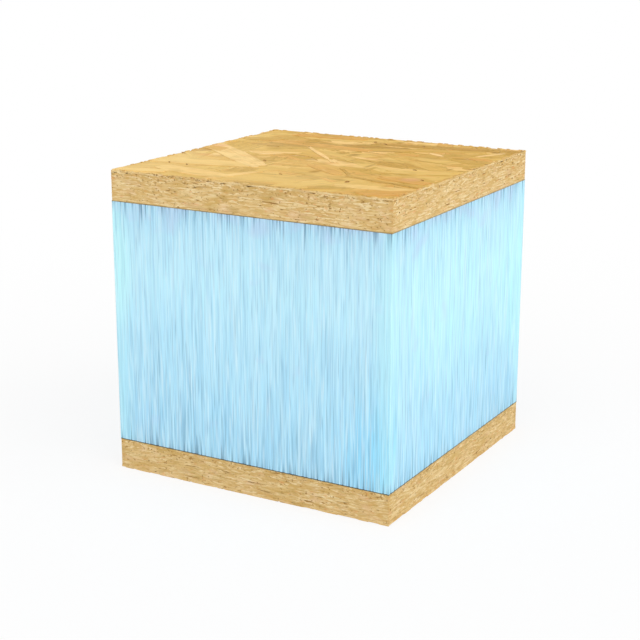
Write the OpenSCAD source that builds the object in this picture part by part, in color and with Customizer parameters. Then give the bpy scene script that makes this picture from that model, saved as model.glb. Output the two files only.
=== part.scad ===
// Cut sample block of a structural insulated panel.
// Two oriented strand board facings are bonded to a rigid foam core, and the
// block is sawn out of the finished panel, so all five layers end flush on
// its four sides. It lies flat on its bottom facing, as a panel is stored.
// The origin is at the middle of the underside, with +Z up through the layers.

/* [Sample block] */
// Width of the sawn block, along X
block_width = 150; // [60:5:600]
// Depth of the sawn block, along Y
block_depth = 150; // [60:5:600]

/* [Facings] */
// Thickness of the oriented strand board below the core
bottom_facing_thickness = 15; // [9:0.5:25]
// Thickness of the oriented strand board above the core
top_facing_thickness = 15; // [9:0.5:25]

/* [Core] */
// Thickness of the extruded polystyrene board between the facings
core_thickness = 120; // [40:5:300]

/* [Adhesive] */
// Thickness of each cured adhesive line between the core and a facing
glue_thickness = 0.4; // [0.2:0.1:1.5]

/* [Hidden] */

// Each layer rests on the one below it, from the floor upwards.
bottom_facing_z = 0;
bottom_glue_z = bottom_facing_z + bottom_facing_thickness;
core_z = bottom_glue_z + glue_thickness;
top_glue_z = core_z + core_thickness;
top_facing_z = top_glue_z + glue_thickness;

// Layers meet face to face.
// The sawn outline is the same for every layer, centred on the Z axis.
module sawn_outline() {
    square([block_width, block_depth], center = true);
}

// One flat layer of the panel, of the given thickness, starting at base_z.
module layer(base_z, thickness) {
    translate([0, 0, base_z])
        linear_extrude(height = thickness)
            sawn_outline();
}

// Oriented strand board that the panel lies on
module bottom_facing() {
    color("burlywood")
        layer(bottom_facing_z, bottom_facing_thickness);
}

// Adhesive between the bottom facing and the core
module bottom_glue_line() {
    color("dimgray")
        layer(bottom_glue_z, glue_thickness);
}

// Light blue extruded polystyrene that insulates and holds the facings apart
module foam_core() {
    color("lightblue")
        layer(core_z, core_thickness);
}

// Adhesive between the core and the top facing
module top_glue_line() {
    color("dimgray")
        layer(top_glue_z, glue_thickness);
}

// Oriented strand board on top of the core
module top_facing() {
    color("burlywood")
        layer(top_facing_z, top_facing_thickness);
}

bottom_facing();
bottom_glue_line();
foam_core();
top_glue_line();
top_facing();
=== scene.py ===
# Sample block of a structural insulated panel: two oriented strand boards on a rigid foam core.
# Everything is in metres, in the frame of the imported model. Sizes below are written in
# millimetres and multiplied by mm. Each piece has its own settings beside its own code.

import math
from functools import partial

import bpy
import numpy as np
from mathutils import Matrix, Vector


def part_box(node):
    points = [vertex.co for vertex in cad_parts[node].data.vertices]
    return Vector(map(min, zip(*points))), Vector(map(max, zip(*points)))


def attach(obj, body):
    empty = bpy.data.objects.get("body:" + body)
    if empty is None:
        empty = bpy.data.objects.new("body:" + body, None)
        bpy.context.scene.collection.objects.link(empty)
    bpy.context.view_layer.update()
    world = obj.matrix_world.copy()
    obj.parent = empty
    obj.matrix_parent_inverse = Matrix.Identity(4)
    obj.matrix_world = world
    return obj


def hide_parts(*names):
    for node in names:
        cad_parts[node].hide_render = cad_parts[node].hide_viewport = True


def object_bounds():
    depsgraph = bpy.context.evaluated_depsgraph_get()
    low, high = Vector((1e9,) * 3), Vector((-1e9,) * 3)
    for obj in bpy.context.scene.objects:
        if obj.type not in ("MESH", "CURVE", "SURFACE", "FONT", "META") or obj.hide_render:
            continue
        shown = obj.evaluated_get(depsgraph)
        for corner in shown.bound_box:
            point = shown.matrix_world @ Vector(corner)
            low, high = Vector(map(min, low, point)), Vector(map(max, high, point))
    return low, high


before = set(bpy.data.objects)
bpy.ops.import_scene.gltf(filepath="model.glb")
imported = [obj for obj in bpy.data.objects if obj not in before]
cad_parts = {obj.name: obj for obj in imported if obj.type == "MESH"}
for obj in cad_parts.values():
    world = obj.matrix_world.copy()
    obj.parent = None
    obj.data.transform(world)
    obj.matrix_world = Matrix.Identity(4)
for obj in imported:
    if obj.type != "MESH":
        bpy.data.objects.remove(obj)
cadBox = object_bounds()
mm = 0.001

scene = bpy.context.scene
scene.view_settings.view_transform = "Standard"

blockLow, blockHigh = cadBox
blockMiddle = (blockLow + blockHigh) / 2


def toLinear(hexColour):
    # "#RRGGBB" as the eye sees it, to the linear colour that a shader works in
    channels = [int(hexColour[i:i + 2], 16) / 255 for i in (1, 3, 5)]
    linear = [c / 12.92 if c <= 0.04045 else ((c + 0.055) / 1.055) ** 2.4 for c in channels]
    return (*linear, 1)


def addNode(tree, kind, settings=None, inputs=None, stops=None):
    # A node with its settings, or only its operation, and its inputs. An input's key is its
    # name, for the first enabled socket so named, or its place, and a tuple fills the places in
    # turn. Its value is a number, a vector, a socket, a node or a list of those, and a vector
    # may hold sockets. A colour ramp's stops are {share: colour}.
    if isinstance(settings, str):
        settings = {"operation": settings}
    if isinstance(inputs, tuple):
        inputs = dict(enumerate(inputs))
    node = tree.nodes.new(kind)
    for name, value in (settings or {}).items():
        setattr(node, name, value)
    if stops:
        ramp = node.color_ramp.elements
        ramp.remove(ramp[-1])
        for share, colour in stops.items():
            stop = ramp.new(share) if share > 0 else ramp[0]
            stop.color = toLinear(colour)
    for key, value in (inputs or {}).items():
        named = [s for s in node.inputs if s.enabled and s.name == key]
        socket = named[0] if named else node.inputs[key]
        for item in value if isinstance(value, list) else [value]:
            if isinstance(item, tuple) and any(isinstance(part, bpy.types.bpy_struct)
                                               for part in item):
                item = addNode(tree, "ShaderNodeCombineXYZ", {}, item)
            if isinstance(item, bpy.types.Node):
                item = next(s for s in item.outputs if s.enabled)
            if isinstance(item, bpy.types.NodeSocket):
                tree.links.new(item, socket)
            else:
                socket.default_value = item
    return node


def newShapeTree(name, sockets):
    # A Geometry Nodes tree: hands back add, which is addNode on this tree, and the tree's inputs.
    # sockets is {input's name: (type, value)}.
    tree = bpy.data.node_groups.new(name, "GeometryNodeTree")
    tree.interface.new_socket("Geometry", in_out="OUTPUT", socket_type="NodeSocketGeometry")
    for label, (kind, value) in sockets.items():
        made = tree.interface.new_socket(label, in_out="INPUT", socket_type="NodeSocket" + kind)
        if value is not None:
            made.default_value = value
    return partial(addNode, tree), tree.nodes.new("NodeGroupInput").outputs


def endShapeTree(last):
    return addNode(last.id_data, "NodeGroupOutput", {}, (last,)).id_data


def pieceFromTree(name, tree, values, startMesh=None):
    # runs the tree once and keeps what it makes as a plain mesh
    holder = bpy.data.objects.new(name + "Start", startMesh or bpy.data.meshes.new(name + "Start"))
    scene.collection.objects.link(holder)
    modifier = holder.modifiers.new("shape", "NODES")
    modifier.node_group = tree
    for item in tree.interface.items_tree:
        if item.in_out == "INPUT" and item.name in values:
            modifier[item.identifier] = values[item.name]
    graph = bpy.context.evaluated_depsgraph_get()
    mesh = bpy.data.meshes.new_from_object(holder.evaluated_get(graph), depsgraph=graph)
    bpy.data.objects.remove(holder)
    piece = bpy.data.objects.new(name, mesh)
    scene.collection.objects.link(piece)
    print(name, "has", len(mesh.polygons), "faces")
    return piece


# The camera stands a little above the block and looks at the corner between its front and right

cameraSet = {
    "azimuth": 29.44,       # degrees round from the front
    "elevation": 15.2,      # degrees above the block's middle
    "distance": 742 * mm,
    "lens": 82.4,           # on a sensor 36 wide
    "turn": 0.24,           # degrees aside from the block's middle
    "dip": 0.51,            # degrees below it
}


def makeCamera():
    azimuth = math.radians(cameraSet["azimuth"])
    elevation = math.radians(cameraSet["elevation"])
    back = Vector((math.sin(azimuth) * math.cos(elevation),
                   -math.cos(azimuth) * math.cos(elevation),
                   math.sin(elevation)))
    camera = bpy.data.objects.new("camera", bpy.data.cameras.new("camera"))
    camera.data.lens = cameraSet["lens"]
    camera.data.sensor_width = 36
    camera.data.clip_start = 0.05
    camera.location = blockMiddle + back * cameraSet["distance"]
    camera.rotation_euler = (math.pi / 2 - elevation - math.radians(cameraSet["dip"]),
                             0,
                             azimuth + math.radians(cameraSet["turn"]))
    scene.collection.objects.link(camera)
    scene.camera = camera


makeCamera()
print("camera set")


# Strands. Each one starts as a plank of unit size on a point that carries its size (length,
# width, thickness), its turn and its tone. It is then frayed, bent over its neighbours and
# handed on by itself, so that the board can be joined from all of them.

def makeStrandTree():
    add, given = newShapeTree("strandPieces", {
        "Points": ("Geometry", None),
        "Steps Along": ("Int", 9),
        "Steps Across": ("Int", 4),
        "Frayed Ends": ("Float", 3 * mm),
        "Ragged Sides": ("Float", 1.2 * mm),
        "End Taper": ("Vector", (0, 0.2, 0)),
        "Bend Height": ("Float", 0.2 * mm),
        "Bend Length": ("Vector", (30 * mm, 30 * mm, 30 * mm)),
        "Own Bend": ("Float", 1.0),
        "Finish": ("Float", 0.0),
    })
    size, turn, tone, curl, place = [
        add("GeometryNodeInputNamedAttribute", {"data_type": kind}, {"Name": name})
        for name, kind in (("strandSize", "FLOAT_VECTOR"), ("strandTurn", "FLOAT_VECTOR"),
                           ("strandTone", "FLOAT"), ("strandCurl", "FLOAT"),
                           ("strandPlace", "FLOAT_VECTOR"))]
    here = add("GeometryNodeInputPosition")
    plank = add("GeometryNodeMeshCube", {},
                {"Size": (1, 1, 1), "Vertices X": given["Steps Along"],
                 "Vertices Y": given["Steps Across"]})
    plank = add("GeometryNodeStoreNamedAttribute", {"data_type": "FLOAT_VECTOR", "domain": "POINT"},
                {"Geometry": plank, "Name": "strandPlace", "Value": here})
    planks = add("GeometryNodeInstanceOnPoints", {},
                 {"Points": given["Points"], "Instance": plank, "Rotation": turn, "Scale": size})
    loose = add("GeometryNodeRealizeInstances", {}, {"Geometry": planks})

    at = add("ShaderNodeSeparateXYZ", {}, (place,))
    away = add("ShaderNodeMath", "ABSOLUTE", (at.outputs["X"],))
    endSide = add("ShaderNodeMath", "SIGN", (at.outputs["X"],))
    edgeSide = add("ShaderNodeMath", "SIGN", (at.outputs["Y"],))
    farApart = 613.0           # so that strands of nearly one tone still differ in the noises
    ownSeed = add("ShaderNodeMath", "MULTIPLY", (tone, farApart))

    # frayed ends: every fibre across the end breaks at a length of its own
    fray = add("ShaderNodeTexWhiteNoise", {}, {"Vector": (endSide, at.outputs["Y"], ownSeed)})
    fray = add("ShaderNodeMath", "SUBTRACT", (fray, 0.6))
    nearEnd = add("ShaderNodeMapRange", {"interpolation_type": "SMOOTHSTEP"},
                  {"Value": away, "From Min": 0.3, "From Max": 0.5})
    for factor in (nearEnd, endSide, given["Frayed Ends"]):
        fray = add("ShaderNodeMath", "MULTIPLY", (fray, factor))

    # ragged sides: the split follows the grain, so it wanders slowly
    sideSeed = (at.outputs["X"], edgeSide, ownSeed)
    split = add("ShaderNodeTexNoise", {}, {"Vector": sideSeed, "Scale": 3.0, "Detail": 2.0})
    split = add("ShaderNodeMath", "SUBTRACT", (split, 0.5))
    for factor in (at.outputs["Y"], given["Ragged Sides"]):
        split = add("ShaderNodeMath", "MULTIPLY", (split, factor))

    # tapered ends: pulled towards the strand's own axis, more so close to the end
    grain = add("ShaderNodeVectorMath", "MULTIPLY", (place, size))
    taper = add("ShaderNodeVectorMath", "MULTIPLY", (grain, given["End Taper"]))
    closeness = add("ShaderNodeMath", "MULTIPLY", (away, 2.0))
    closeness = add("ShaderNodeMath", "POWER", (closeness, 3.0))
    taper = add("ShaderNodeVectorMath", "SCALE", {0: taper, "Scale": closeness})
    local = add("ShaderNodeVectorMath", "SUBTRACT", ((fray, split, 0), taper))
    turned = add("ShaderNodeVectorRotate", {"rotation_type": "EULER_XYZ"},
                 {"Vector": local, "Rotation": turn})

    # bends: neighbours lie in one slow wave, or each strand in a wave of its own
    waveAt = add("ShaderNodeVectorMath", "DIVIDE", (here, given["Bend Length"]))
    ownWave = add("ShaderNodeMath", "MULTIPLY", (ownSeed, given["Own Bend"]))
    waveAt = add("ShaderNodeVectorMath", "ADD", (waveAt, (0, ownWave, 0)))
    wave = add("ShaderNodeTexNoise", {}, {"Vector": waveAt, "Scale": 1.0, "Detail": 1.0})
    wave = add("ShaderNodeMath", "SUBTRACT", (wave, 0.5))
    wave = add("ShaderNodeMath", "MULTIPLY", (wave, given["Bend Height"]))
    offset = add("ShaderNodeVectorMath", "ADD", (turned, (0, 0, wave)))
    shaped = add("GeometryNodeSetPosition", {}, {"Geometry": loose, "Offset": offset})

    # what the finish reads: each strand's tone, and each corner's place on it
    for name, value in (("strandTone", tone), ("strandCurl", curl), ("boardFinish", given["Finish"])):
        shaped = add("GeometryNodeStoreNamedAttribute", {"data_type": "FLOAT", "domain": "FACE"},
                     {"Geometry": shaped, "Name": name, "Value": value})
    for name, value in (("strandGrain", grain), ("strandShare", place)):
        shaped = add("GeometryNodeStoreNamedAttribute",
                     {"data_type": "FLOAT_VECTOR", "domain": "CORNER"},
                     {"Geometry": shaped, "Name": name, "Value": value})
    island = add("GeometryNodeInputMeshIsland")
    return endShapeTree(add("GeometryNodeSplitToInstances", {"domain": "POINT"},
                            {"Geometry": shaped, "Group ID": island}))


# Strands laid flat at random in the outer face, with its top at height 0
def makeFaceLayerTree():
    add, given = newShapeTree("faceLayer", {
        "Board Size": ("Vector", (150 * mm, 150 * mm, 15 * mm)),
        "Count": ("Int", 100),
        "Least Size": ("Vector", (45 * mm, 7 * mm, 0.7 * mm)),
        "Most Size": ("Vector", (120 * mm, 22 * mm, 0.8 * mm)),
        "Relief": ("Float", 0.3 * mm),
        "Rock": ("Float", 0.004),
        "Seed": ("Int", 1),
    })
    seeds = [add("ShaderNodeMath", "ADD", (given["Seed"], float(draw))) for draw in range(4)]
    deeper = 0.25 * mm         # below the face, so that the trim cuts their tops off level
    spread = add("FunctionNodeRandomValue", {"data_type": "FLOAT_VECTOR"},
                 {"Min": (-0.52, -0.52, -1), "Max": (0.52, 0.52, 0), "Seed": seeds[0]})
    room = add("ShaderNodeSeparateXYZ", {}, (given["Board Size"],))
    room = (room.outputs["X"], room.outputs["Y"], given["Relief"])
    place = add("ShaderNodeVectorMath", "MULTIPLY", (spread, room))
    size = add("FunctionNodeRandomValue", {"data_type": "FLOAT_VECTOR"},
               {"Min": given["Least Size"], "Max": given["Most Size"], "Seed": seeds[1]})
    thick = add("ShaderNodeSeparateXYZ", {}, (size,))
    sunk = add("ShaderNodeMath", "MULTIPLY_ADD", (thick.outputs["Z"], -0.5, -deeper))
    place = add("ShaderNodeVectorMath", "ADD", (place, (0, 0, sunk)))
    points = add("GeometryNodePoints", {}, {"Count": given["Count"], "Position": place})

    # most strands lie along X and a few lie across it; each rocks slightly on those below
    draw = add("FunctionNodeRandomValue", {"data_type": "FLOAT_VECTOR"},
               {"Min": (-1, -1, -1), "Max": (1, 1, 1), "Seed": seeds[2]})
    draw = add("ShaderNodeSeparateXYZ", {}, (draw,))
    aside = add("ShaderNodeMath", "ABSOLUTE", (draw.outputs["Z"],))
    aside = add("ShaderNodeMath", "MULTIPLY", (aside, draw.outputs["Z"]))
    aside = add("ShaderNodeMath", "MULTIPLY", (aside, math.pi / 2))
    roll = add("ShaderNodeMath", "MULTIPLY", (draw.outputs["X"], given["Rock"]))
    pitch = add("ShaderNodeMath", "MULTIPLY", (draw.outputs["Y"], given["Rock"]))
    pitch = add("ShaderNodeMath", "MULTIPLY", (pitch, 0.5))
    turn = (roll, pitch, aside)
    tone = add("FunctionNodeRandomValue", {"data_type": "FLOAT"}, {"Seed": seeds[3]})
    for name, kind, value in (("strandSize", "FLOAT_VECTOR", size),
                              ("strandTurn", "FLOAT_VECTOR", turn),
                              ("strandTone", "FLOAT", tone)):
        points = add("GeometryNodeStoreNamedAttribute", {"data_type": kind, "domain": "POINT"},
                     {"Geometry": points, "Name": name, "Value": value})
    return endShapeTree(points)


# Cut ends of the strands inside the board, row over row, in a sawn side that faces -Y at y = 0
def makeSawnSideTree():
    add, given = newShapeTree("sawnSide", {
        "Length": ("Float", 150 * mm),
        "Height": ("Float", 15 * mm),
        "Rows": ("Int", 24),
        "Columns": ("Int", 16),
        "Least Size": ("Vector", (4 * mm, 1.4 * mm, 0.4 * mm)),
        "Most Size": ("Vector", (26 * mm, 1.8 * mm, 1.0 * mm)),
        "Torn Back": ("Float", 0.15 * mm),
        "Curl From": ("Float", 9 * mm),
        "Curl To": ("Float", 15 * mm),
        "Crowd Least": ("Float", 0.0),
        "Seed": ("Int", 1),
    })
    seeds = [add("ShaderNodeMath", "ADD", (given["Seed"], float(draw))) for draw in range(5)]
    index = add("GeometryNodeInputIndex")
    row = add("ShaderNodeMath", "MODULO", (index, given["Rows"]))
    column = add("ShaderNodeMath", "DIVIDE", (index, given["Rows"]))
    column = add("ShaderNodeMath", "FLOOR", (column,))
    count = add("ShaderNodeMath", "MULTIPLY", (given["Rows"], given["Columns"]))
    jitter = add("FunctionNodeRandomValue", {"data_type": "FLOAT_VECTOR"},
                 {"Min": (0, 0, 0), "Max": (1, 1, 1), "Seed": seeds[0]})
    jitter = add("ShaderNodeSeparateXYZ", {}, (jitter,))
    up = row
    for step, value in (("ADD", jitter.outputs["Y"]), ("DIVIDE", given["Rows"]),
                        ("MULTIPLY", given["Height"])):
        up = add("ShaderNodeMath", step, (up, value))

    # towards one face the strands lie thinner and lean more, so their ends are short and curly
    curl = add("ShaderNodeMapRange", {},
               {"Value": up, "From Min": given["Curl From"], "From Max": given["Curl To"]})
    short = add("ShaderNodeMapRange", {}, {"Value": curl, "To Min": 1.0, "To Max": 0.45})
    lean = add("ShaderNodeMapRange", {}, {"Value": curl, "To Min": 1.0, "To Max": 3.5})
    size = add("FunctionNodeRandomValue", {"data_type": "FLOAT_VECTOR"},
               {"Min": given["Least Size"], "Max": given["Most Size"], "Seed": seeds[1]})
    size = add("ShaderNodeVectorMath", "MULTIPLY", (size, (short, 1.0, 1.0)))
    sized = add("ShaderNodeSeparateXYZ", {}, (size,))

    # along the side, and no further than the corner
    along = column
    for step, value in (("ADD", jitter.outputs["X"]), ("DIVIDE", given["Columns"]), ("SUBTRACT", 0.5),
                        ("MULTIPLY", given["Length"])):
        along = add("ShaderNodeMath", step, (along, value))
    reach = add("ShaderNodeMath", "SUBTRACT", (given["Length"], sized.outputs["X"]))
    almostHalf = 0.4995
    reach = add("ShaderNodeMath", "MULTIPLY", (reach, almostHalf))
    along = add("ShaderNodeMath", "MINIMUM", (along, reach))
    reach = add("ShaderNodeMath", "MULTIPLY", (reach, -1.0))
    along = add("ShaderNodeMath", "MAXIMUM", (along, reach))
    into = add("ShaderNodeMath", "MULTIPLY", (jitter.outputs["Z"], given["Torn Back"]))
    half = add("ShaderNodeMath", "MULTIPLY", (sized.outputs["Y"], 0.5))
    into = add("ShaderNodeMath", "ADD", (into, half))
    into = add("ShaderNodeMath", "ADD", (into, 0.04 * mm))
    place = (along, into, up)
    points = add("GeometryNodePoints", {}, {"Count": count, "Position": place})
    turn = add("FunctionNodeRandomValue", {"data_type": "FLOAT_VECTOR"},
               {"Min": (-0.03, -0.09, -0.003), "Max": (0.03, 0.09, 0.003), "Seed": seeds[2]})
    turn = add("ShaderNodeVectorMath", "MULTIPLY", (turn, (1.0, lean, 1.0)))
    tone = add("FunctionNodeRandomValue", {"data_type": "FLOAT"}, {"Seed": seeds[3]})
    for name, kind, value in (("strandSize", "FLOAT_VECTOR", size),
                              ("strandTurn", "FLOAT_VECTOR", turn),
                              ("strandCurl", "FLOAT", curl),
                              ("strandTone", "FLOAT", tone)):
        points = add("GeometryNodeStoreNamedAttribute", {"data_type": kind, "domain": "POINT"},
                     {"Geometry": points, "Name": name, "Value": value})

    # kept where a coarse noise is high, so in clusters, and more of them in the curly zone
    clusterLength, clusterHeight = 5 * mm, 2.2 * mm
    spot = add("ShaderNodeVectorMath", "MULTIPLY",
               (add("GeometryNodeInputPosition"), (1 / clusterLength, 0, 1 / clusterHeight)))
    crowd = add("ShaderNodeTexNoise", {"noise_dimensions": "4D"},
                {"Vector": spot, "W": seeds[4], "Scale": 1.0, "Detail": 1.0})
    curly = add("GeometryNodeInputNamedAttribute", {"data_type": "FLOAT"}, {"Name": "strandCurl"})
    crowd = add("ShaderNodeMath", "MULTIPLY_ADD", (curly, 0.1, crowd))
    bare = add("FunctionNodeCompare", {"data_type": "FLOAT", "operation": "LESS_THAN"},
               {"A": crowd, "B": given["Crowd Least"]})
    return endShapeTree(add("GeometryNodeDeleteGeometry", {"domain": "POINT"},
                            {"Geometry": points, "Selection": bare}))


# One board: a plain middle, strands over its outer face, cut ends round its four sides, all
# joined into one solid and trimmed to the board's own size. Its outer face is up, over z = 0.
def makeBoardTree(strandTree, faceTree, sideTree):
    add, given = newShapeTree("strandBoard", {
        "Chosen Strands": ("Geometry", None),
        "Board Size": ("Vector", (150 * mm, 150 * mm, 15 * mm)),
        "Strands": ("Int", 110),
        "Strand Least": ("Vector", (45 * mm, 7 * mm, 0.7 * mm)),
        "Strand Most": ("Vector", (120 * mm, 22 * mm, 0.8 * mm)),
        "Chips": ("Int", 120),
        "Chip Least": ("Vector", (6 * mm, 1 * mm, 0.6 * mm)),
        "Chip Most": ("Vector", (28 * mm, 4 * mm, 0.7 * mm)),
        "Relief": ("Float", 0.16 * mm),
        "Rows": ("Int", 24),
        "Columns": ("Int", 30),
        "Sliver Least": ("Vector", (2 * mm, 1.0 * mm, 0.5 * mm)),
        "Sliver Most": ("Vector", (13 * mm, 1.3 * mm, 0.95 * mm)),
        "Torn Back": ("Float", 0.05 * mm),
        "Set Back": ("Float", 0.13 * mm),
        "Curl From": ("Float", 9 * mm),
        "Curl To": ("Float", 15 * mm),
        "Pit Columns": ("Int", 34),
        "Pit Least": ("Vector", (0.5 * mm, 0.16 * mm, 0.3 * mm)),
        "Pit Most": ("Vector", (2.4 * mm, 0.4 * mm, 0.8 * mm)),
        "Edge Pit Columns": ("Int", 70),
        "Edge Pit Least": ("Vector", (0.4 * mm, 0.16 * mm, 0.3 * mm)),
        "Edge Pit Most": ("Vector", (1.8 * mm, 0.4 * mm, 0.55 * mm)),
        "Crack Columns": ("Int", 9),
        "Crack Least": ("Vector", (3 * mm, 0.2 * mm, 0.25 * mm)),
        "Crack Most": ("Vector", (14 * mm, 0.36 * mm, 0.55 * mm)),
        "Chip Outs": ("Int", 34),
        "Chip Out Least": ("Vector", (1 * mm, 0.6 * mm, 0.3 * mm)),
        "Chip Out Most": ("Vector", (8 * mm, 1.8 * mm, 0.9 * mm)),
        "Far Chip Outs": ("Float", 0.45),
        "Turn Over": ("Float", 0.0),
        "Height": ("Float", 0.0),
        "Seed": ("Int", 1),
        "Face Material": ("Material", None),
        "Sawn Material": ("Material", None),
        "Void Material": ("Material", None),
    })
    side = add("ShaderNodeSeparateXYZ", {}, (given["Board Size"],))
    width, depth, thick = [side.outputs[axis] for axis in "XYZ"]
    seeds = [add("ShaderNodeMath", "ADD", (given["Seed"], float(draw))) for draw in range(100)]

    # outer face
    pitted = add("GeometryNodeInputNamedAttribute", {"data_type": "FLOAT"}, {"Name": "isPit"})
    pitted = add("FunctionNodeCompare", {"data_type": "FLOAT"}, {"A": pitted, "B": 0.5})
    chosen = add("GeometryNodeSeparateGeometry", {},
                 {"Geometry": given["Chosen Strands"], "Selection": pitted})
    strands = add("GeometryNodeGroup", {"node_tree": faceTree},
                  {"Board Size": given["Board Size"], "Count": given["Strands"],
                   "Least Size": given["Strand Least"], "Most Size": given["Strand Most"],
                   "Relief": given["Relief"], "Rock": 0.002, "Seed": seeds[0]})
    chips = add("GeometryNodeGroup", {"node_tree": faceTree},
                {"Board Size": given["Board Size"], "Count": given["Chips"],
                 "Least Size": given["Chip Least"], "Most Size": given["Chip Most"],
                 "Relief": 0.05 * mm, "Rock": 0.003, "Seed": seeds[10]})
    strands = add("GeometryNodeJoinGeometry", {}, {"Geometry": [chosen.outputs["Inverted"], strands]})
    facePieces, pits = [], []
    for found, points, along, across, fray, ragged, taper, finish in (
            (facePieces, strands, 8, 5, 6 * mm, 3 * mm, (0, 0.3, 0), 0.0),
            (facePieces, chips, 5, 3, 2 * mm, 0.8 * mm, (0, 0.3, 0), 0.0),
            (pits, chosen.outputs["Selection"], 6, 4, 0.0, 0.5 * mm, (0, 0.8, 0.7), 2.0)):
        pieces = add("GeometryNodeGroup", {"node_tree": strandTree},
                     {"Points": points, "Steps Along": along, "Steps Across": across,
                      "Frayed Ends": fray, "Ragged Sides": ragged, "End Taper": taper,
                      "Bend Height": 0.08 * mm, "Bend Length": (28 * mm, 28 * mm, 28 * mm),
                      "Own Bend": 1.0, "Finish": finish})
        found.append(add("GeometryNodeTransform", {},
                         {"Geometry": pieces, "Translation": (0, 0, thick)}))

    # four sawn sides, each turned from the front one: cut ends, pits and cracks among them, and
    # bits that broke out along the face's own edge
    walls = []
    faceEdge = 1.4 * mm        # how far down the outer face's own edge reaches
    nearFace = add("ShaderNodeMath", "SUBTRACT", (thick, faceEdge - 0.1 * mm))
    rowsOf = {
        # where it goes: rows, columns, least and most size, torn back, first seed, foot, height,
        # end taper, bend height, finish, how crowded a place must be
        "cuts": (walls, given["Rows"], given["Columns"], given["Sliver Least"],
                 given["Sliver Most"], given["Torn Back"], 20, 0.0, thick, (0, 0, 0.75),
                 2.2 * mm, 1.0, -1.0),
        "pits": (pits, 10, given["Pit Columns"], given["Pit Least"], given["Pit Most"], 0.0, 24,
                 0.0, thick, (0, 0.3, 0.6), 2.2 * mm, 2.0, 0.6),
        "edgePits": (pits, 2, given["Edge Pit Columns"], given["Edge Pit Least"],
                     given["Edge Pit Most"], 0.0, 28, nearFace, faceEdge, (0, 0.4, 0.6),
                     0.2 * mm, 2.0, 0.5),
        "cracks": (pits, 3, given["Crack Columns"], given["Crack Least"], given["Crack Most"],
                   0.0, 32, 0.0, thick, (0, 0.5, 0.9), 2.2 * mm, 2.0, 0.56),
        "chipOuts": (pits, 1, given["Chip Outs"], given["Chip Out Least"],
                     given["Chip Out Most"], 0.0, 36, nearFace, faceEdge, (0, 0.7, 0.8),
                     0.2 * mm, 1.0, 0.0),
    }
    for quarter in range(4):
        length, out = (width, depth) if quarter % 2 == 0 else (depth, width)
        outwards = add("ShaderNodeMath", "MULTIPLY", (out, -0.5))
        for label, (found, rows, columns, least, most, back, seed, foot, height, taper, bend,
                    finish, crowd) in rowsOf.items():
            if label == "chipOuts" and quarter > 1:
                # the saw left the wood at the front and the right, so the far sides broke less
                least, most = [add("ShaderNodeVectorMath", "SCALE",
                                   {0: size, "Scale": given["Far Chip Outs"]})
                               for size in (least, most)]
            points = add("GeometryNodeGroup", {"node_tree": sideTree},
                         {"Length": length, "Height": height, "Rows": rows, "Columns": columns,
                          "Least Size": least, "Most Size": most, "Torn Back": back,
                          "Curl From": given["Curl From"], "Curl To": given["Curl To"],
                          "Crowd Least": crowd, "Seed": seeds[seed + 20 * quarter]})
            pieces = add("GeometryNodeGroup", {"node_tree": strandTree},
                         {"Points": points, "Steps Along": 4, "Steps Across": 2,
                          "Frayed Ends": 0.3 * mm, "Ragged Sides": 0.0, "End Taper": taper,
                          "Bend Height": bend, "Bend Length": (24 * mm, 24 * mm, 7 * mm),
                          "Own Bend": 0.0, "Finish": finish})
            pieces = add("GeometryNodeTransform", {},
                         {"Geometry": pieces, "Translation": (0, outwards, foot)})
            found.append(add("GeometryNodeTransform", {},
                             {"Geometry": pieces, "Rotation": (0, 0, quarter * math.pi / 2)}))

    # the middle, set back behind the sawn sides and the strands
    back = add("ShaderNodeMath", "MULTIPLY", (given["Set Back"], 2.0))
    inner = add("ShaderNodeVectorMath", "SUBTRACT", (given["Board Size"], (back, back, 0.5 * mm)))
    middle = add("GeometryNodeMeshCube", {}, {"Size": inner})
    half = add("ShaderNodeMath", "MULTIPLY",
               (add("ShaderNodeSeparateXYZ", {}, (inner,)).outputs["Z"], 0.5))
    middle = add("GeometryNodeTransform", {}, {"Geometry": middle, "Translation": (0, 0, half)})
    middle = add("GeometryNodeStoreNamedAttribute", {"data_type": "FLOAT", "domain": "FACE"},
                 {"Geometry": middle, "Name": "boardFinish", "Value": 1.0})

    # the trim: its own faces show where the saw went through a strand, so each cell has a tone
    cellsAlong, cellsUp = 34, 26
    trim = add("GeometryNodeMeshCube", {},
               {"Size": given["Board Size"], "Vertices X": cellsAlong, "Vertices Y": cellsAlong,
                "Vertices Z": cellsUp})
    halfUp = add("ShaderNodeMath", "MULTIPLY", (thick, 0.5))
    trim = add("GeometryNodeTransform", {}, {"Geometry": trim, "Translation": (0, 0, halfUp)})
    here = add("ShaderNodeSeparateXYZ", {}, (add("GeometryNodeInputPosition"),))
    alongSide = add("ShaderNodeMath", "ADD", (here.outputs["X"], here.outputs["Y"]))
    onSide = (alongSide, 0, here.outputs["Z"])
    cellTone = add("FunctionNodeRandomValue", {"data_type": "FLOAT"}, {"Seed": seeds[12]})
    justUnder = add("ShaderNodeMath", "SUBTRACT", (thick, 0.01 * mm))
    sawn = add("ShaderNodeMath", "LESS_THAN", (here.outputs["Z"], justUnder))
    for name, kind, domain, value in (("strandTone", "FLOAT", "FACE", cellTone),
                                      ("boardFinish", "FLOAT", "FACE", sawn),
                                      ("strandGrain", "FLOAT_VECTOR", "CORNER", onSide)):
        trim = add("GeometryNodeStoreNamedAttribute", {"data_type": kind, "domain": domain},
                   {"Geometry": trim, "Name": name, "Value": value})
    joined = add("GeometryNodeMeshBoolean", {"operation": "UNION", "solver": "MANIFOLD"},
                 {"Mesh": [middle, *facePieces, *walls]})
    board = add("GeometryNodeMeshBoolean", {"operation": "INTERSECT", "solver": "MANIFOLD"},
                {"Mesh": [joined, trim]})
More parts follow.
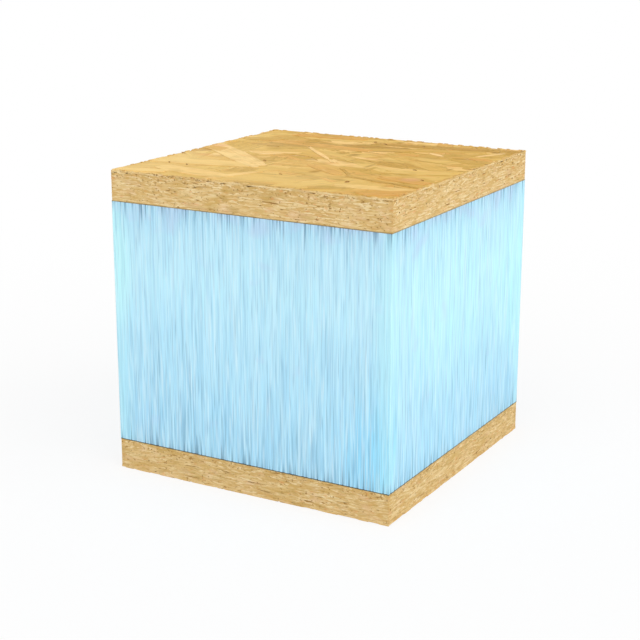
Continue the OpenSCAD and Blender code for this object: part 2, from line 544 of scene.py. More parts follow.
    board = add("GeometryNodeMeshBoolean", {"operation": "DIFFERENCE", "solver": "MANIFOLD"},
                {"Mesh 1": board, "Mesh 2": pits})

    # turned over where the outer face is below, and set at its height
    board = add("GeometryNodeTransform", {},
                {"Geometry": board, "Rotation": (given["Turn Over"], 0, 0),
                 "Translation": (0, 0, given["Height"])})
    board = add("GeometryNodeRealizeInstances", {}, {"Geometry": board})
    finish = add("GeometryNodeInputNamedAttribute", {"data_type": "FLOAT"}, {"Name": "boardFinish"})
    for number, label in enumerate(("Face Material", "Sawn Material", "Void Material")):
        chosen = add("FunctionNodeCompare", {"data_type": "FLOAT", "operation": "EQUAL"},
                     {"A": finish, "B": float(number), "Epsilon": 0.5})
        board = add("GeometryNodeSetMaterial", {},
                    {"Geometry": board, "Selection": chosen, "Material": given[label]})
    return endShapeTree(board)


# Foam core and adhesive: a closed layer whose four sides are fine enough to carry relief

def makeLayerTree():
    add, given = newShapeTree("sawnLayer", {
        "Layer Size": ("Vector", (150 * mm, 150 * mm, 120 * mm)),
        "Height": ("Float", 0.0),
        "Columns": ("Int", 450),
        "Rows": ("Int", 46),
        "Groove Depth": ("Float", 0.25 * mm),
        "Fine Grain": ("Vector", (0.8 * mm, 0.8 * mm, 24 * mm)),
        "Wide Grain": ("Vector", (2.4 * mm, 2.4 * mm, 50 * mm)),
        "Tear Depth": ("Float", 0.3 * mm),
        "Tear Length": ("Float", 18 * mm),
        "Tear Width": ("Float", 1.1 * mm),
        "Sharp Corner": ("Float", 0.8 * mm),
        "Material": ("Material", None),
    })
    side = add("ShaderNodeSeparateXYZ", {}, (given["Layer Size"],))
    width, depth, thick = [side.outputs[axis] for axis in "XYZ"]
    cuts = add("ShaderNodeMath", "SUBTRACT", (given["Columns"], 1.0))
    outline = add("GeometryNodeCurvePrimitiveQuadrilateral", {}, {"Width": width, "Height": depth})
    outline = add("GeometryNodeSubdivideCurve", {}, {"Curve": outline, "Cuts": cuts})
    upright = add("GeometryNodeCurvePrimitiveLine", {}, {"Start": (0, 0, 0), "End": (0, 0, thick)})
    rowCount = add("ShaderNodeMath", "ADD", (given["Rows"], 1.0))
    upright = add("GeometryNodeResampleCurve", {}, {"Curve": upright, "Count": rowCount})
    shell = add("GeometryNodeCurveToMesh", {},
                {"Curve": upright, "Profile Curve": outline, "Fill Caps": True})

    # which way is out, and how far it is to the nearest corner and the nearest joint
    here = add("GeometryNodeInputPosition")
    at = add("ShaderNodeSeparateXYZ", {}, (here,))
    inset = {}
    for axis, full in (("X", width), ("Y", depth)):
        half = add("ShaderNodeMath", "MULTIPLY", (full, 0.5))
        reach = add("ShaderNodeMath", "ABSOLUTE", (at.outputs[axis],))
        inset[axis] = add("ShaderNodeMath", "SUBTRACT", (half, reach))
    onX = add("ShaderNodeMath", "LESS_THAN", (inset["X"], inset["Y"]))
    onY = add("ShaderNodeMath", "SUBTRACT", (1.0, onX))
    inwards = []
    for axis, used in (("X", onX), ("Y", onY)):
        sign = add("ShaderNodeMath", "SIGN", (at.outputs[axis],))
        sign = add("ShaderNodeMath", "MULTIPLY", (sign, used))
        inwards.append(add("ShaderNodeMath", "MULTIPLY", (sign, -1.0)))
    inwards = (inwards[0], inwards[1], 0)
    toCorner = add("ShaderNodeMath", "MAXIMUM", (inset["X"], inset["Y"]))
    kept = add("ShaderNodeMapRange", {"interpolation_type": "SMOOTHSTEP"},
               {"Value": toCorner, "From Min": 0.0, "From Max": given["Sharp Corner"]})
    fromTop = add("ShaderNodeMath", "SUBTRACT", (thick, at.outputs["Z"]))
    toJoint = add("ShaderNodeMath", "MINIMUM", (at.outputs["Z"], fromTop))

    # upright grain, fine and wide
    layers = []
    for label, detail in (("Fine Grain", 2.0), ("Wide Grain", 1.0)):
        spot = add("ShaderNodeVectorMath", "DIVIDE", (here, given[label]))
        layers.append(add("ShaderNodeTexNoise", {}, {"Vector": spot, "Scale": 1.0, "Detail": detail}))
    ridge = add("ShaderNodeMath", "MULTIPLY", (layers[0], 0.65))
    wide = add("ShaderNodeMath", "MULTIPLY", (layers[1], 0.35))
    ridge = add("ShaderNodeMath", "ADD", (ridge, wide))
    ridge = add("ShaderNodeMapRange", {}, {"Value": ridge, "From Min": 0.3, "From Max": 0.7})

    # tears: grooves that start at a joint and run out at a length of their own. Those at the
    # top lie a long way off in the noise from those at the bottom.
    column = (at.outputs["X"], at.outputs["Y"],
              add("ShaderNodeMath", "GREATER_THAN", (at.outputs["Z"], fromTop)))
    spot = add("ShaderNodeVectorMath", "DIVIDE",
               (column, (given["Tear Width"], given["Tear Width"], 0.11)))
    tear = add("ShaderNodeTexNoise", {}, {"Vector": spot, "Scale": 1.0, "Detail": 2.0})
    tear = add("ShaderNodeMapRange", {}, {"Value": tear, "From Min": 0.48, "From Max": 0.74})
    share = add("ShaderNodeMath", "DIVIDE", (toJoint, given["Tear Length"]))
    tear = add("ShaderNodeMath", "SUBTRACT", (tear, share))
    tear = add("ShaderNodeMapRange", {"interpolation_type": "SMOOTHSTEP"},
               {"Value": tear, "From Min": 0.0, "From Max": 0.6})

    low = add("ShaderNodeMath", "SUBTRACT", (1.0, ridge))
    low = add("ShaderNodeMath", "MULTIPLY", (low, given["Groove Depth"]))
    torn = add("ShaderNodeMath", "MULTIPLY", (tear, given["Tear Depth"]))
    sunk = add("ShaderNodeMath", "ADD", (low, torn))
    sunk = add("ShaderNodeMath", "MULTIPLY", (sunk, kept))
    offset = add("ShaderNodeVectorMath", "SCALE", {0: inwards, "Scale": sunk})
    for name, value in (("ridgeShare", ridge), ("tearShare", tear)):
        shell = add("GeometryNodeStoreNamedAttribute", {"data_type": "FLOAT", "domain": "POINT"},
                    {"Geometry": shell, "Name": name, "Value": value})
    shell = add("GeometryNodeSetPosition", {}, {"Geometry": shell, "Offset": offset})
    shell = add("GeometryNodeTransform", {},
                {"Geometry": shell, "Translation": (0, 0, given["Height"])})
    shell = add("GeometryNodeRealizeInstances", {}, {"Geometry": shell})
    return endShapeTree(add("GeometryNodeSetMaterial", {},
                            {"Geometry": shell, "Material": given["Material"]}))


strandTree = makeStrandTree()
boardTree = makeBoardTree(strandTree, makeFaceLayerTree(), makeSawnSideTree())
layerTree = makeLayerTree()
print("shape trees built")


# Materials

def newMaterial(name, values):
    # A material with values on its shader's own sockets: hands it back with add, which is
    # addNode on its tree, and the place that its patterns read.
    material = bpy.data.materials.new(name)
    material.use_nodes = True
    tree = material.node_tree
    for label, value in values.items():
        tree.nodes["Principled BSDF"].inputs[label].default_value = value
    return material, partial(addNode, tree), addNode(tree, "ShaderNodeTexCoord").outputs["Object"]


def endMaterial(material, colour, relief=None, depth=0):
    tree = material.node_tree
    shader = tree.nodes["Principled BSDF"]
    tree.links.new(next(s for s in colour.outputs if s.enabled), shader.inputs["Base Color"])
    if relief:
        bump = addNode(tree, "ShaderNodeBump", {},
                       {"Height": relief, "Distance": depth, "Strength": 0.6})
        tree.links.new(bump.outputs[0], shader.inputs["Normal"])
    return material


def layTones(add, colour, place, layers, more=0.0):
    # Patches of other tones over a colour. A layer is (tone, its patches' three sizes in mm,
    # the noise at which they begin and are full, their most share, how far more counts).
    apart = 7.3                # from one layer's noise to the next one's
    for number, (tone, sizes, begin, full, most, moreShare) in enumerate(layers):
        spot = add("ShaderNodeVectorMath", "MULTIPLY_ADD",
                   (place, tuple(1 / (size * mm) for size in sizes), (apart * number,) * 3))
        share = add("ShaderNodeTexNoise", {},
                    {"Vector": spot, "Scale": 1.0, "Detail": 1.0, "Distortion": 0.3})
        share = add("ShaderNodeMath", "MULTIPLY_ADD", (more, moreShare, share))
        share = add("ShaderNodeMapRange", {},
                    {"Value": share, "From Min": begin, "From Max": full, "To Max": most})
        colour = add("ShaderNodeMix", {"data_type": "RGBA"}, {0: share, 6: colour, 7: toLinear(tone)})
    return colour


def layPatches(add, colour, place, patches):
    # Single patches where they are wanted: (middle and reach in mm, tone, most share)
    for middle, reach, tone, most in patches:
        away = add("ShaderNodeVectorMath", "SUBTRACT", (place, tuple(value * mm for value in middle)))
        away = add("ShaderNodeVectorMath", "DIVIDE", (away, tuple(value * mm for value in reach)))
        away = add("ShaderNodeVectorMath", "LENGTH", (away,))
        share = add("ShaderNodeMapRange", {"interpolation_type": "SMOOTHSTEP"},
                    {"Value": away.outputs["Value"], "From Min": 0.2, "From Max": 1.0, "To Min": most,
                     "To Max": 0.0})
        colour = add("ShaderNodeMix", {"data_type": "RGBA"}, {0: share, 6: colour, 7: toLinear(tone)})
    return colour


def ownPlace(add, grain, tone):
    # a place on the strand that no other strand shares
    stride = 7.7               # metres from tone 0 to tone 1
    own = add("ShaderNodeMath", "MULTIPLY", (tone.outputs["Fac"], stride))
    return add("ShaderNodeVectorMath", "ADD", (grain.outputs["Vector"], (own, own, own)))


strandFinish = {
    # heartwood, knotty gold, gold, sapwood gone orange, honey, straw, pale sapwood
    "tones": {0.0: "#BE9346", 0.05: "#C79C49", 0.15: "#CFA54E", 0.3: "#D7AE58",
              0.42: "#DDA857", 0.55: "#DDB35D", 0.72: "#E0B863", 0.88: "#E6C06D",
              0.96: "#F4CB82", 1.0: "#F8D391"},
    "paled": "#F8DA92",        # paler towards the near left
    "paledTowards": (-4.6, -4.0, 0.0),
    "paledPatches": 22.0,      # to the metre
    "patches": [
        ("#BA943C", (12, 8, 12), 0.52, 0.74, 0.5, 0),
        ("#DFA258", (14, 9, 14), 0.56, 0.78, 0.45, 0),
    ],
    # knotty, bruised and rosy places in the top board's face
    "marks": [
        ((5, 20, 150.8), (4.5, 5.5, 1), "#A0762E", 0.75),
        ((-2, 50, 150.8), (11, 8, 1), "#BB9440", 0.75),
        ((7, 66, 150.8), (5, 4, 1), "#A8842F", 0.7),
        ((-40, 18, 150.8), (7, 5, 1), "#C09A48", 0.7),
        ((-20, 38, 150.8), (5, 4, 1), "#BE9445", 0.6),
        ((12, 6, 150.8), (2, 5, 1), "#AE8236", 0.6),
        ((27, -5, 150.8), (2, 8, 1), "#AE8238", 0.7),
        ((65, 4, 150.8), (1.6, 6, 1), "#AE8238", 0.7),
        ((12, -32, 150.8), (4, 6, 1), "#AB8136", 0.7),
        ((32, -45, 150.8), (7, 3.5, 1), "#B18A3C", 0.7),
        ((36, -63, 150.8), (9, 5, 1), "#C0A04C", 0.6),
        ((61, -29, 150.8), (7, 8, 1), "#E3AA7A", 0.6),
        ((-70, 12, 150.8), (7, 5, 1), "#EEB583", 0.6),
        ((-60, -16, 150.8), (12, 5, 1), "#E0A868", 0.5),
    ],
    # along each strand: brown and pale streaks, then specks of bark and resin
    "streaks": [
        ("#BB9040", (15, 1.8, 5), 0.5, 0.68, 0.45, -0.12),
        ("#F3D08C", (12, 1.3, 5), 0.58, 0.76, 0.45, 0),
        ("#80591F", (2.6, 1.0, 2), 0.62, 0.7, 0.7, -0.12),
    ],
    "fibreLength": 14 * mm,
    "fibreWidth": 0.6 * mm,
}


def makePressedStrands():
    # Aspen and pine strands, waxed and hot pressed with a clear resin: flat, slightly shiny,
    # each with its own tone, streaks and fine fibres along it, and with darker rims, partly resin and
    # partly painted shade
    material, add, place = newMaterial("hotPressedStrands", {
        "Roughness": 0.6, "IOR": 1.5, "Specular IOR Level": 0.06})
    tone, grain, share = [
        add("ShaderNodeAttribute", {"attribute_name": name})
        for name in ("strandTone", "strandGrain", "strandShare")]
    colour = add("ShaderNodeValToRGB", {}, {"Fac": tone.outputs["Fac"]}, strandFinish["tones"])
    colour = layTones(add, colour.outputs["Color"], place, strandFinish["patches"])
    own = ownPlace(add, grain, tone)
    colour = layTones(add, colour, own, strandFinish["streaks"], tone.outputs["Fac"])
    towards = add("ShaderNodeVectorMath", "DOT_PRODUCT", (place, strandFinish["paledTowards"]))
    paled = add("ShaderNodeTexNoise", {},
                {"Vector": place, "Scale": strandFinish["paledPatches"], "Detail": 1.0})
    paled = add("ShaderNodeMath", "ADD", (paled, towards.outputs["Value"]))
    paled = add("ShaderNodeMapRange", {},
                {"Value": paled, "From Min": 0.5, "From Max": 1.3, "To Max": 0.75})
    colour = add("ShaderNodeMix", {"data_type": "RGBA"},
                 {0: paled, 6: colour, 7: toLinear(strandFinish["paled"])})
    colour = layPatches(add, colour, place, strandFinish["marks"])

    # fibres, and darker rims along the strand's sides, partly resin and partly painted shade at the
    # steps between strands
    along, across = 1 / strandFinish["fibreLength"], 1 / strandFinish["fibreWidth"]
    spot = add("ShaderNodeVectorMath", "MULTIPLY", (own, (along, across, across)))
    fibre = add("ShaderNodeTexNoise", {}, {"Vector": spot, "Scale": 1.0, "Detail": 3.0})
    level = add("ShaderNodeMapRange", {},
                {"Value": fibre, "From Min": 0.3, "From Max": 0.7, "To Min": 0.9, "To Max": 1.08})
    onStrand = add("ShaderNodeSeparateXYZ", {}, (share.outputs["Vector"],))
    rimResinAndShade = add("ShaderNodeMath", "ABSOLUTE", (onStrand.outputs["Y"],))
    rimResinAndShade = add("ShaderNodeMapRange", {"interpolation_type": "SMOOTHSTEP"},
              {"Value": rimResinAndShade, "From Min": 0.38, "From Max": 0.5, "To Min": 1.0, "To Max": 0.95})
    level = add("ShaderNodeMath", "MULTIPLY", (level, rimResinAndShade))
    colour = add("ShaderNodeVectorMath", "SCALE", {0: colour, "Scale": level})
    return endMaterial(material, colour, fibre, 0.03 * mm)


sawnFinish = {
    "tones": {0.0: "#D3AE6D", 0.2: "#DCB97B", 0.5: "#E1C186", 0.8: "#E7CB93", 1.0: "#EDD5A2"},
    # over the whole side: gold, olive and rosy patches, orange spots and resin specks, which
    # the curly zone has more of
    "patches": [
        ("#CFAA5F", (13, 13, 3), 0.5, 0.72, 0.5, 0),
        ("#BD9C57", (7, 7, 2.2), 0.56, 0.76, 0.55, 0),
        ("#EAC6A2", (9, 9, 3.5), 0.57, 0.77, 0.35, 0),
        ("#E0995A", (4, 4, 1.2), 0.64, 0.8, 0.65, 0),
        ("#9C7134", (1.5, 1.5, 0.9), 0.64, 0.74, 0.7, 0.07),
    ],
    # along each cut end: pale torn fibres, dust packed between them
    "flecks": [
        ("#F6E3B6", (3.2, 0.9, 0.9), 0.52, 0.74, 0.65, 0.04),
        ("#BC9352", (2.6, 0.7, 0.7), 0.57, 0.76, 0.6, 0.06),
    ],
    # painted shade: the lower board is a little darker and browner, fading out upwards from the
    # block's underside
    "lowShade": [((0, 0, 0), (400, 400, 40), "#7C5A24", 0.08)],
    "faceTone": "#E4B866",     # the pressed face's own edge
    "faceDepth": 0.5 * mm,
    "fleckLength": 2.4 * mm,
    "fleckWidth": 0.55 * mm,
}


def makeSawnStrands():
    # The same strands sawn across: dry, rough, striped by their cut ends and flecked by fibres
    # that the saw tore up or packed with dust
    material, add, place = newMaterial("sawnStrandEnds", {
        "Roughness": 0.85, "IOR": 1.45, "Specular IOR Level": 0.3})
    tone, grain, curl = [add("ShaderNodeAttribute", {"attribute_name": name})
                         for name in ("strandTone", "strandGrain", "strandCurl")]
    colour = add("ShaderNodeValToRGB", {}, {"Fac": tone.outputs["Fac"]}, sawnFinish["tones"])
    own = ownPlace(add, grain, tone)
    colour = layTones(add, colour.outputs["Color"], own, sawnFinish["flecks"],
                      curl.outputs["Fac"])
    colour = layTones(add, colour, place, sawnFinish["patches"], curl.outputs["Fac"])
    # painted shade low on the block, over the lower board
    colour = layPatches(add, colour, place, sawnFinish["lowShade"])

    # the outermost strands show the face's own gold, down to a ragged line
    up = add("ShaderNodeSeparateXYZ", {}, (place,))
    up = add("ShaderNodeMath", "SUBTRACT", (up.outputs["Z"], blockMiddle.z))
    up = add("ShaderNodeMath", "ABSOLUTE", (up,))
    spot = add("ShaderNodeVectorMath", "SCALE", {0: place, "Scale": 1 / (3.5 * mm)})
    ragged = add("ShaderNodeTexNoise", {}, {"Vector": spot, "Scale": 1.0, "Detail": 2.0})
    ragged = add("ShaderNodeMath", "MULTIPLY_ADD", (ragged, 3 * sawnFinish["faceDepth"], up))
    outer = blockHigh.z - blockMiddle.z + 1.5 * sawnFinish["faceDepth"]
    faced = add("ShaderNodeMapRange", {},
                {"Value": ragged, "From Min": outer - sawnFinish["faceDepth"], "From Max": outer,
                 "To Max": 0.5})
    colour = add("ShaderNodeMix", {"data_type": "RGBA"},
                 {0: faced, 6: colour, 7: toLinear(sawnFinish["faceTone"])})
    spot = add("ShaderNodeVectorMath", "MULTIPLY",
               (own, (1 / sawnFinish["fleckLength"], 1 / sawnFinish["fleckWidth"],
                      1 / sawnFinish["fleckWidth"])))
    torn = add("ShaderNodeTexNoise", {}, {"Vector": spot, "Scale": 1.0, "Detail": 2.0})
    return endMaterial(material, colour, torn, 0.05 * mm)


def makeShadedVoid():
    # resin-darkened wood seen down between strands
    material, add, place = newMaterial("shadedStrandVoid", {"Roughness": 0.9})
    patch = add("ShaderNodeTexNoise", {}, {"Vector": place, "Scale": 1 / (2 * mm), "Detail": 2.0})
    colour = add("ShaderNodeValToRGB", {}, {"Fac": patch},
                 {0.0: "#94692F", 0.4: "#AE8245", 0.6: "#C09855", 1.0: "#CEA966"})
    return endMaterial(material, colour)


foamFinish = {
    # colour from the underside of the block to its top
    "upward": {0.0: "#A8DBF4", 0.2: "#ACE0F8", 0.33: "#B1E3F9", 0.5: "#B6E6FA",
               0.66: "#BFEDFD", 0.78: "#BDEAFB", 0.88: "#B5E3F7"},
    # cells drawn upright: wide and fine bands, then cells cut open and cells drawn flat
    "grain": [
        ("#CDF0FD", (4, 4, 60), 0.5, 0.7, 0.3, 0),
        ("#9CCDEC", (2, 2, 30), 0.52, 0.72, 0.3, 0.02),
        ("#D4F3FE", (0.75, 0.75, 40), 0.5, 0.7, 0.45, 0),
        ("#93C2DC", (0.65, 0.65, 32), 0.52, 0.7, 0.42, 0.06),
        ("#7CABC6", (0.7, 0.7, 22), 0.58, 0.74, 0.48, 0.12),
        ("#DCF5FF", (0.9, 0.9, 20), 0.56, 0.74, 0.45, 0.04),
    ],
    # painted shade: lavender patches just under the upper joint
    "shadeUnderJoint": [("#BDD3F0", (15, 15, 12), 0.52, 0.74, 0.5, 0.16)],
    "torn": "#6C93AC",
    "corner": "#BDF4FD",       # where light comes through from the other side
    "cornerReach": 12 * mm,
    "patches": [
        # painted light: a pale glow down the front's left corner
        ((-75, -75, 105), (13, 13, 42), "#C8FCFF", 0.9),
        ((75, -75, 30), (34, 12, 44), "#8ADAFD", 0.75),
        # painted highlight: a thin bright line down the near corner
        ((75, -75, 75), (0.4, 2.6, 90), "#CFFBFF", 0.8),
        # painted light: a pale glow towards the right side's far corner
        ((75, 75, 84), (20, 46, 56), "#BEFFFF", 0.55),
        # painted light: the right side made paler and more cyan, where the key lamp falls
        ((75, -6, 92), (14, 110, 60), "#C2FCFF", 0.4),
    ],
}


def makeFoam():
    # Extruded polystyrene, wire sawn: matt and slightly see-into, with a grain drawn upright
    material, add, place = newMaterial("extrudedPolystyrene", {
        "Roughness": 0.65, "IOR": 1.4, "Specular IOR Level": 0.3,
        "Subsurface Weight": 0.1, "Subsurface Scale": 0.6 * mm,
        "Subsurface Radius": (0.6, 0.8, 1.0)})
    ridge, tear = [add("ShaderNodeAttribute", {"attribute_name": name}).outputs["Fac"]
                   for name in ("ridgeShare", "tearShare")]
    at = add("ShaderNodeSeparateXYZ", {}, (place,))
    up = add("ShaderNodeMapRange", {},
             {"Value": at.outputs["Z"], "From Min": blockLow.z, "From Max": blockHigh.z})
    colour = add("ShaderNodeValToRGB", {}, {"Fac": up}, foamFinish["upward"])
    # patches of painted light and a painted highlight at the corners and over the right side
    colour = layPatches(add, colour.outputs["Color"], place, foamFinish["patches"])

    # the grain grows stronger downwards and just under the upper joint, where patches of painted
    # shade lie too
    lower = add("ShaderNodeMapRange", {}, {"Value": up, "From Min": 0.52, "From Max": 0.12})
    upper = add("ShaderNodeMapRange", {},
                {"Value": up, "From Min": 0.8, "From Max": 0.89, "To Max": 0.8})
    joint = add("ShaderNodeMath", "MAXIMUM", (lower, upper))
    colour = layTones(add, colour, place, foamFinish["grain"], joint)
    upper = add("ShaderNodeMapRange", {},
                {"Value": up, "From Min": 0.78, "From Max": 0.9, "To Min": -1.0, "To Max": 1.0})
    colour = layTones(add, colour, place, foamFinish["shadeUnderJoint"], upper)
    level = add("ShaderNodeMapRange", {}, {"Value": ridge, "To Min": 0.95, "To Max": 1.05})
    colour = add("ShaderNodeVectorMath", "SCALE", {0: colour, "Scale": level})
    reach = [add("ShaderNodeMath", "ABSOLUTE", (at.outputs[axis],)) for axis in "XY"]
    reach = add("ShaderNodeMath", "ADD", (reach[0], reach[1]))
    corner = add("ShaderNodeMapRange", {"interpolation_type": "SMOOTHSTEP"},
                 {"Value": reach, "From Min": blockHigh.x + blockHigh.y - foamFinish["cornerReach"],
                  "From Max": blockHigh.x + blockHigh.y, "To Max": 0.4})
    torn = add("ShaderNodeMath", "MULTIPLY", (tear, 0.85))
    for share, label in ((corner, "corner"), (torn, "torn")):
        colour = add("ShaderNodeMix", {"data_type": "RGBA"},
                     {0: share, 6: colour, 7: toLinear(foamFinish[label])})
    return endMaterial(material, colour)


def makeAdhesive(name, tones):
    # Moisture cured polyurethane squeezed out at the joint: dark, slightly shiny, patchy
    material, add, place = newMaterial(name, {"Roughness": 0.45, "IOR": 1.5})
    patch = add("ShaderNodeTexNoise", {}, {"Vector": place, "Scale": 160.0, "Detail": 3.0})
    colour = add("ShaderNodeValToRGB", {}, {"Fac": patch},
                 {0.0: tones[0], 0.4: tones[0], 0.65: tones[1], 1.0: tones[1]})
    return endMaterial(material, colour)


boardMaterials = {
    "Face Material": makePressedStrands(),
    "Sawn Material": makeSawnStrands(),
    "Void Material": makeShadedVoid(),
}
foamMaterial = makeFoam()
print("materials made")


# The five pieces

def unfoldForBake(piece, capShare, wallStretch, skin=1.3 * mm):
    # Lays the six sides out beside each other, each face seen square on. Faces deeper than the
    # skin have charts of their own at half size, so that none lies over another side's.
    mesh = piece.data
    count = len(mesh.polygons)
    centres, normals = np.empty(count * 3), np.empty(count * 3)
    mesh.polygons.foreach_get("center", centres)
    mesh.polygons.foreach_get("normal", normals)
    centres, normals = centres.reshape(-1, 3), normals.reshape(-1, 3)
    points, corners = np.empty(len(mesh.vertices) * 3), np.empty(len(mesh.loops), int)
    mesh.vertices.foreach_get("co", points)
    mesh.loops.foreach_get("vertex_index", corners)
    points = points.reshape(-1, 3)
    sizes = np.empty(count, int)
    mesh.polygons.foreach_get("loop_total", sizes)

    low, high = points.min(0), points.max(0)
    axis = np.abs(normals).argmax(1)
    pick = np.arange(count)
    outward = normals[pick, axis] > 0
    depth = np.where(outward, high[axis] - centres[pick, axis], centres[pick, axis] - low[axis])
    chart = axis * 2 + outward + np.where(depth > skin, 6, 0)

    # charts stand in rows, as many as fit across
    width, length, height = high - low
    gap = 1.5 * mm
    across = max(width, length) * 2 + 3 * gap
    starts, scales = np.zeros((12, 2)), np.zeros((12, 2))
    x, y, row = gap, gap, 0.0
    for number in (4, 5, 0, 1, 2, 3, 10, 11, 6, 7, 8, 9):
        side = number % 6 // 2
        full = [(length, height), (width, height), (width, length)][side]
        share = 0.5 if number > 5 else 1.0
        scales[number] = (share * capShare,) * 2 if side == 2 else (share, share * wallStretch)
        wide, tall = full[0] * scales[number][0], full[1] * scales[number][1]
        if x + wide + gap > across:
            x, y, row = gap, y + row + gap, 0.0
        starts[number] = x, y
        x, row = x + wide + gap, max(row, tall)
    sheet = max(across, y + row + gap)

    perCorner = np.repeat(chart, sizes)
    at = points[corners] - low
    pick = np.arange(len(corners))
    first = np.array([1, 0, 0])[perCorner % 6 // 2]
    second = np.array([2, 2, 1])[perCorner % 6 // 2]
    flat = np.stack([at[pick, first], at[pick, second]], 1) * scales[perCorner]
    layer = mesh.uv_layers.new(name="OFBake")
    layer.uv.foreach_set("vector", ((flat + starts[perCorner]) / sheet).astype(np.float32).ravel())


def finishPiece(piece, node, capShare=1.0, wallStretch=1.0):
    unfoldForBake(piece, capShare, wallStretch)
    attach(piece, "root")
    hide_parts(node)


def nodeSize(node):
    low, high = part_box(node)
    return tuple(high - low), low.z


def chosenPoints(strands, pits):
    # strands: (x, y, length, width, angle, tone); pits: (x, y, length, width, angle)
    # a strand lies with its middle 0.52 mm down and is 0.8 mm thick, a pit 0.25 and 0.9
    rows = [(*row, 0.0, -0.52, 0.8) for row in strands]
    rows += [(*row, 0.5, 1.0, -0.25, 0.9) for row in pits]
    mesh = bpy.data.meshes.new("chosenStrands")
    mesh.from_pydata([(row[0] * mm, row[1] * mm, row[-2] * mm) for row in rows], [], [])
    sizes = [(row[2] * mm, row[3] * mm, row[-1] * mm) for row in rows]
    turns = [(0, 0, math.radians(row[4])) for row in rows]
    for label, kind, values in (("strandSize", "FLOAT_VECTOR", sizes),
                                ("strandTurn", "FLOAT_VECTOR", turns),
                                ("strandTone", "FLOAT", [row[5] for row in rows]),
                                ("isPit", "FLOAT", [row[6] for row in rows])):
        made = mesh.attributes.new(label, kind, "POINT")
        key = "vector" if kind == "FLOAT_VECTOR" else "value"
        made.data.foreach_set(key, np.array(values, float).ravel())
    return mesh


def makeBoard(name, node, values):
    size, low = nodeSize(node)
    over = values["outer face"] == "down"
    given = {**boardMaterials, "Board Size": size, "Seed": values["seed"],
             "Turn Over": math.pi if over else 0.0, "Height": low + (size[2] if over else 0),
             "Curl From": (size[2] - values["curly from"] * mm),
             "Curl To": (size[2] - values["curly to"] * mm)}
    start = chosenPoints(values["strands"], values["pits"])
    finishPiece(pieceFromTree(name, boardTree, given, start), node)


def makeLayer(name, node, material, values):
    size, low = nodeSize(node)
    given = {**values, "Layer Size": size, "Height": low, "Material": material}
    finishPiece(pieceFromTree(name, layerTree, given), node, values["cap share"],
                values["wall stretch"])


# Strands that catch the eye in each board's outer face, in millimetres from its middle and
# degrees, with a tone from 0, heartwood, to 1, pale sapwood. Then its knots and torn holes.
# Curly strand ends start and are fullest at a depth below the outer face.
topBoard = {
    "seed": 11,
    "outer face": "up",
    "curly from": 6,
    "curly to": 0,
    "strands": [
        (-51, -6, 88, 13, -39, 0.99),
        (-13.5, 16, 42, 2.6, -46, 0.985),
        (5, -2, 10, 4, -50, 0.98),
        (41, 40, 13, 3.4, -28, 0.99),
        (54, -41.5, 46, 2.8, -15, 0.04),
        (27.5, -28.5, 24, 2, -49, 0.06),
        (-17, -59, 30, 5, 67, 0.97),
        (-52, -36, 58, 15, 8, 0.93),
        (-38, -60, 44, 13, -12, 0.955),
        (-62, -68, 30, 8, 12, 0.94),
        (56, -56, 40, 9, 8, 0.93),
        (58, -11, 34, 11, 20, 0.84),
        (60, -33, 30, 9, -12, 0.43),
        (67, -64, 26, 10, 38, 0.42),
        (-34, 66, 42, 9, 4, 0.44),
        (-62, 2, 24, 10, -20, 0.4),
        (-64, 42, 22, 8, 10, 0.16),
        (38, -65, 22, 7, 30, 0.1),
        (14, -25, 30, 7, -35, 0.44),
    ],
    "pits": [
        (-5, 62, 5, 1.8, -60),
        (3, 58, 6, 1.6, -45),
        (24, 61, 4, 1.2, -60),
        (49, 71, 4, 1.4, -50),
        (-25, -17, 6, 1.6, -50),
        (51, -5, 5.5, 1.7, -55),
        (38, -48, 5, 2.2, -70),
        (66, -28, 4, 1.4, -50),
        (1, -45, 4, 1.3, -45),
        (-63, -44, 3.5, 1, -50),
        (-52, -45, 3.5, 1, -50),
    ],
}
bottomBoard = {
    "seed": 48,
    "outer face": "down",
    "curly from": 9,
    "curly to": 15,
    "strands": [
        (30, 18, 96, 16, 24, 0.97),
        (-40, -30, 70, 9, -33, 0.98),
        (-22, 44, 60, 14, 9, 0.43),
        (48, -50, 50, 12, -14, 0.16),
    ],
    "pits": [
        (12, -33, 6, 2, 30),
        (-52, 26, 5, 1.6, -25),
        (55, 41, 6, 1.8, 60),
    ],
}
makeBoard("topFacingBoard", "top_facing", topBoard)
makeBoard("bottomFacingBoard", "bottom_facing", bottomBoard)

foamCore = {
    "Columns": 450,
    "Rows": 46,
    "Groove Depth": 0.19 * mm,
    "Tear Depth": 0.3 * mm,
    "Tear Length": 18 * mm,
    "Tear Width": 1.1 * mm,
    "cap share": 0.3,          # how large its hidden top and underside are in its own map
    "wall stretch": 1.0,
}
makeLayer("foamCoreBlock", "foam_core", foamMaterial, foamCore)

glueLine = {
    "Columns": 200,
    "Rows": 2,
    "Groove Depth": 0.2 * mm,
    "Tear Depth": 0.0,
    "cap share": 0.3,
    "wall stretch": 20.0,
}
makeLayer("topAdhesiveLine", "top_glue_line",
          makeAdhesive("ageBrownedAdhesive", ("#8A7448", "#A58C5C")), glueLine)
makeLayer("bottomAdhesiveLine", "bottom_glue_line",
          makeAdhesive("curedPolyurethane", ("#3A4038", "#565C4C")), glueLine)
print("pieces made")


# Floor, world and lamps

studioSet = {
    "floorRadius": 4.0,
    "shadowFades": (0.1, 0.6),  # from and to, away from the block's middle
    "shadowShare": 0.2,        # how much of the floor's own shading the camera sees
    "worldLevel": 0.62,
    "lamps": {
        # name: (round from the front, up, strength, softness), in degrees but for strength
        "keyLamp": (85, 32, 1.06, 60),
        "fillLamp": (10, 50, 0.94, 60),
    },
}


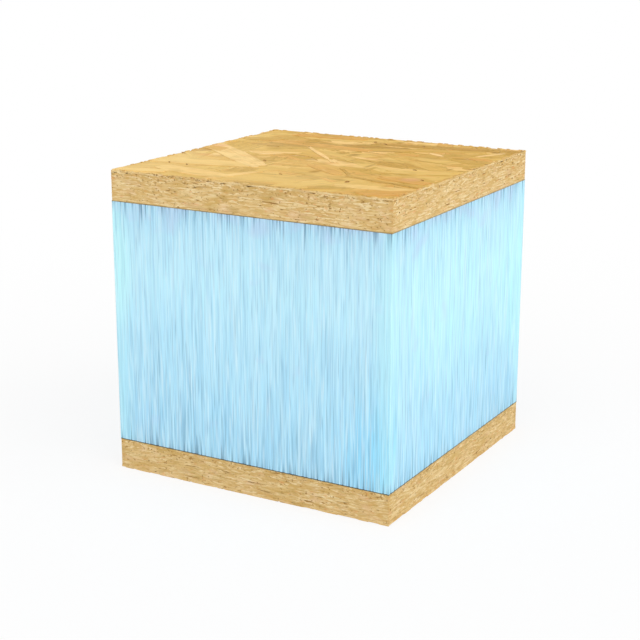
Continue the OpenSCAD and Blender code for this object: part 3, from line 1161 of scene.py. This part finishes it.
def seenRays(add):
    # 1 for what the camera sees, by itself or in a shiny or clear surface
    paths = add("ShaderNodeLightPath")
    seen = paths.outputs["Is Camera Ray"]
    for ray in ("Is Glossy Ray", "Is Transmission Ray"):
        seen = add("ShaderNodeMath", "MAXIMUM", (seen, paths.outputs[ray]))
    return seen


def makeFloor():
    material, add, place = newMaterial("paperFloor", {
        "Base Color": (0.9, 0.9, 0.9, 1), "Roughness": 1.0, "Specular IOR Level": 0.0})
    away = add("ShaderNodeVectorMath", "LENGTH", (place,))
    away = add("ShaderNodeMapRange", {"interpolation_type": "SMOOTHSTEP"},
               {"Value": away.outputs["Value"], "From Min": studioSet["shadowFades"][0],
                "From Max": studioSet["shadowFades"][1], "To Min": 1 - studioSet["shadowShare"]})
    white = add("ShaderNodeMath", "MULTIPLY", (away, seenRays(add)))
    glow = add("ShaderNodeEmission", {}, {"Color": (1, 1, 1, 1), "Strength": 1.0})
    tree = material.node_tree
    mixed = add("ShaderNodeMixShader", {}, (white, tree.nodes["Principled BSDF"], glow))
    tree.links.new(mixed.outputs[0], tree.nodes["Material Output"].inputs["Surface"])
    mesh = bpy.data.meshes.new("floor")
    r = studioSet["floorRadius"]
    mesh.from_pydata([(-r, -r, 0), (r, -r, 0), (r, r, 0), (-r, r, 0)], [], [(0, 1, 2, 3)])
    mesh.materials.append(material)
    floor = bpy.data.objects.new("floor", mesh)
    floor.location.z = blockLow.z - 0.05 * mm
    scene.collection.objects.link(floor)


def makeWorld():
    world = bpy.data.worlds.new("studio")
    scene.world = world
    world.use_nodes = True
    tree = world.node_tree
    add = partial(addNode, tree)
    dim = tree.nodes["Background"]
    dim.inputs["Color"].default_value = (1, 1, 1, 1)
    level = add("ShaderNodeMapRange", {},
                {"Value": seenRays(add), "To Min": studioSet["worldLevel"], "To Max": 1.0})
    tree.links.new(level.outputs[0], dim.inputs["Strength"])


def makeLamps():
    for name, (around, up, strength, softness) in studioSet["lamps"].items():
        lamp = bpy.data.objects.new(name, bpy.data.lights.new(name, "SUN"))
        lamp.data.energy = strength
        lamp.data.angle = math.radians(softness)
        lamp.rotation_euler = (math.radians(90 - up), 0, math.radians(around))
        scene.collection.objects.link(lamp)


makeFloor()
makeWorld()
makeLamps()
print("stage set")
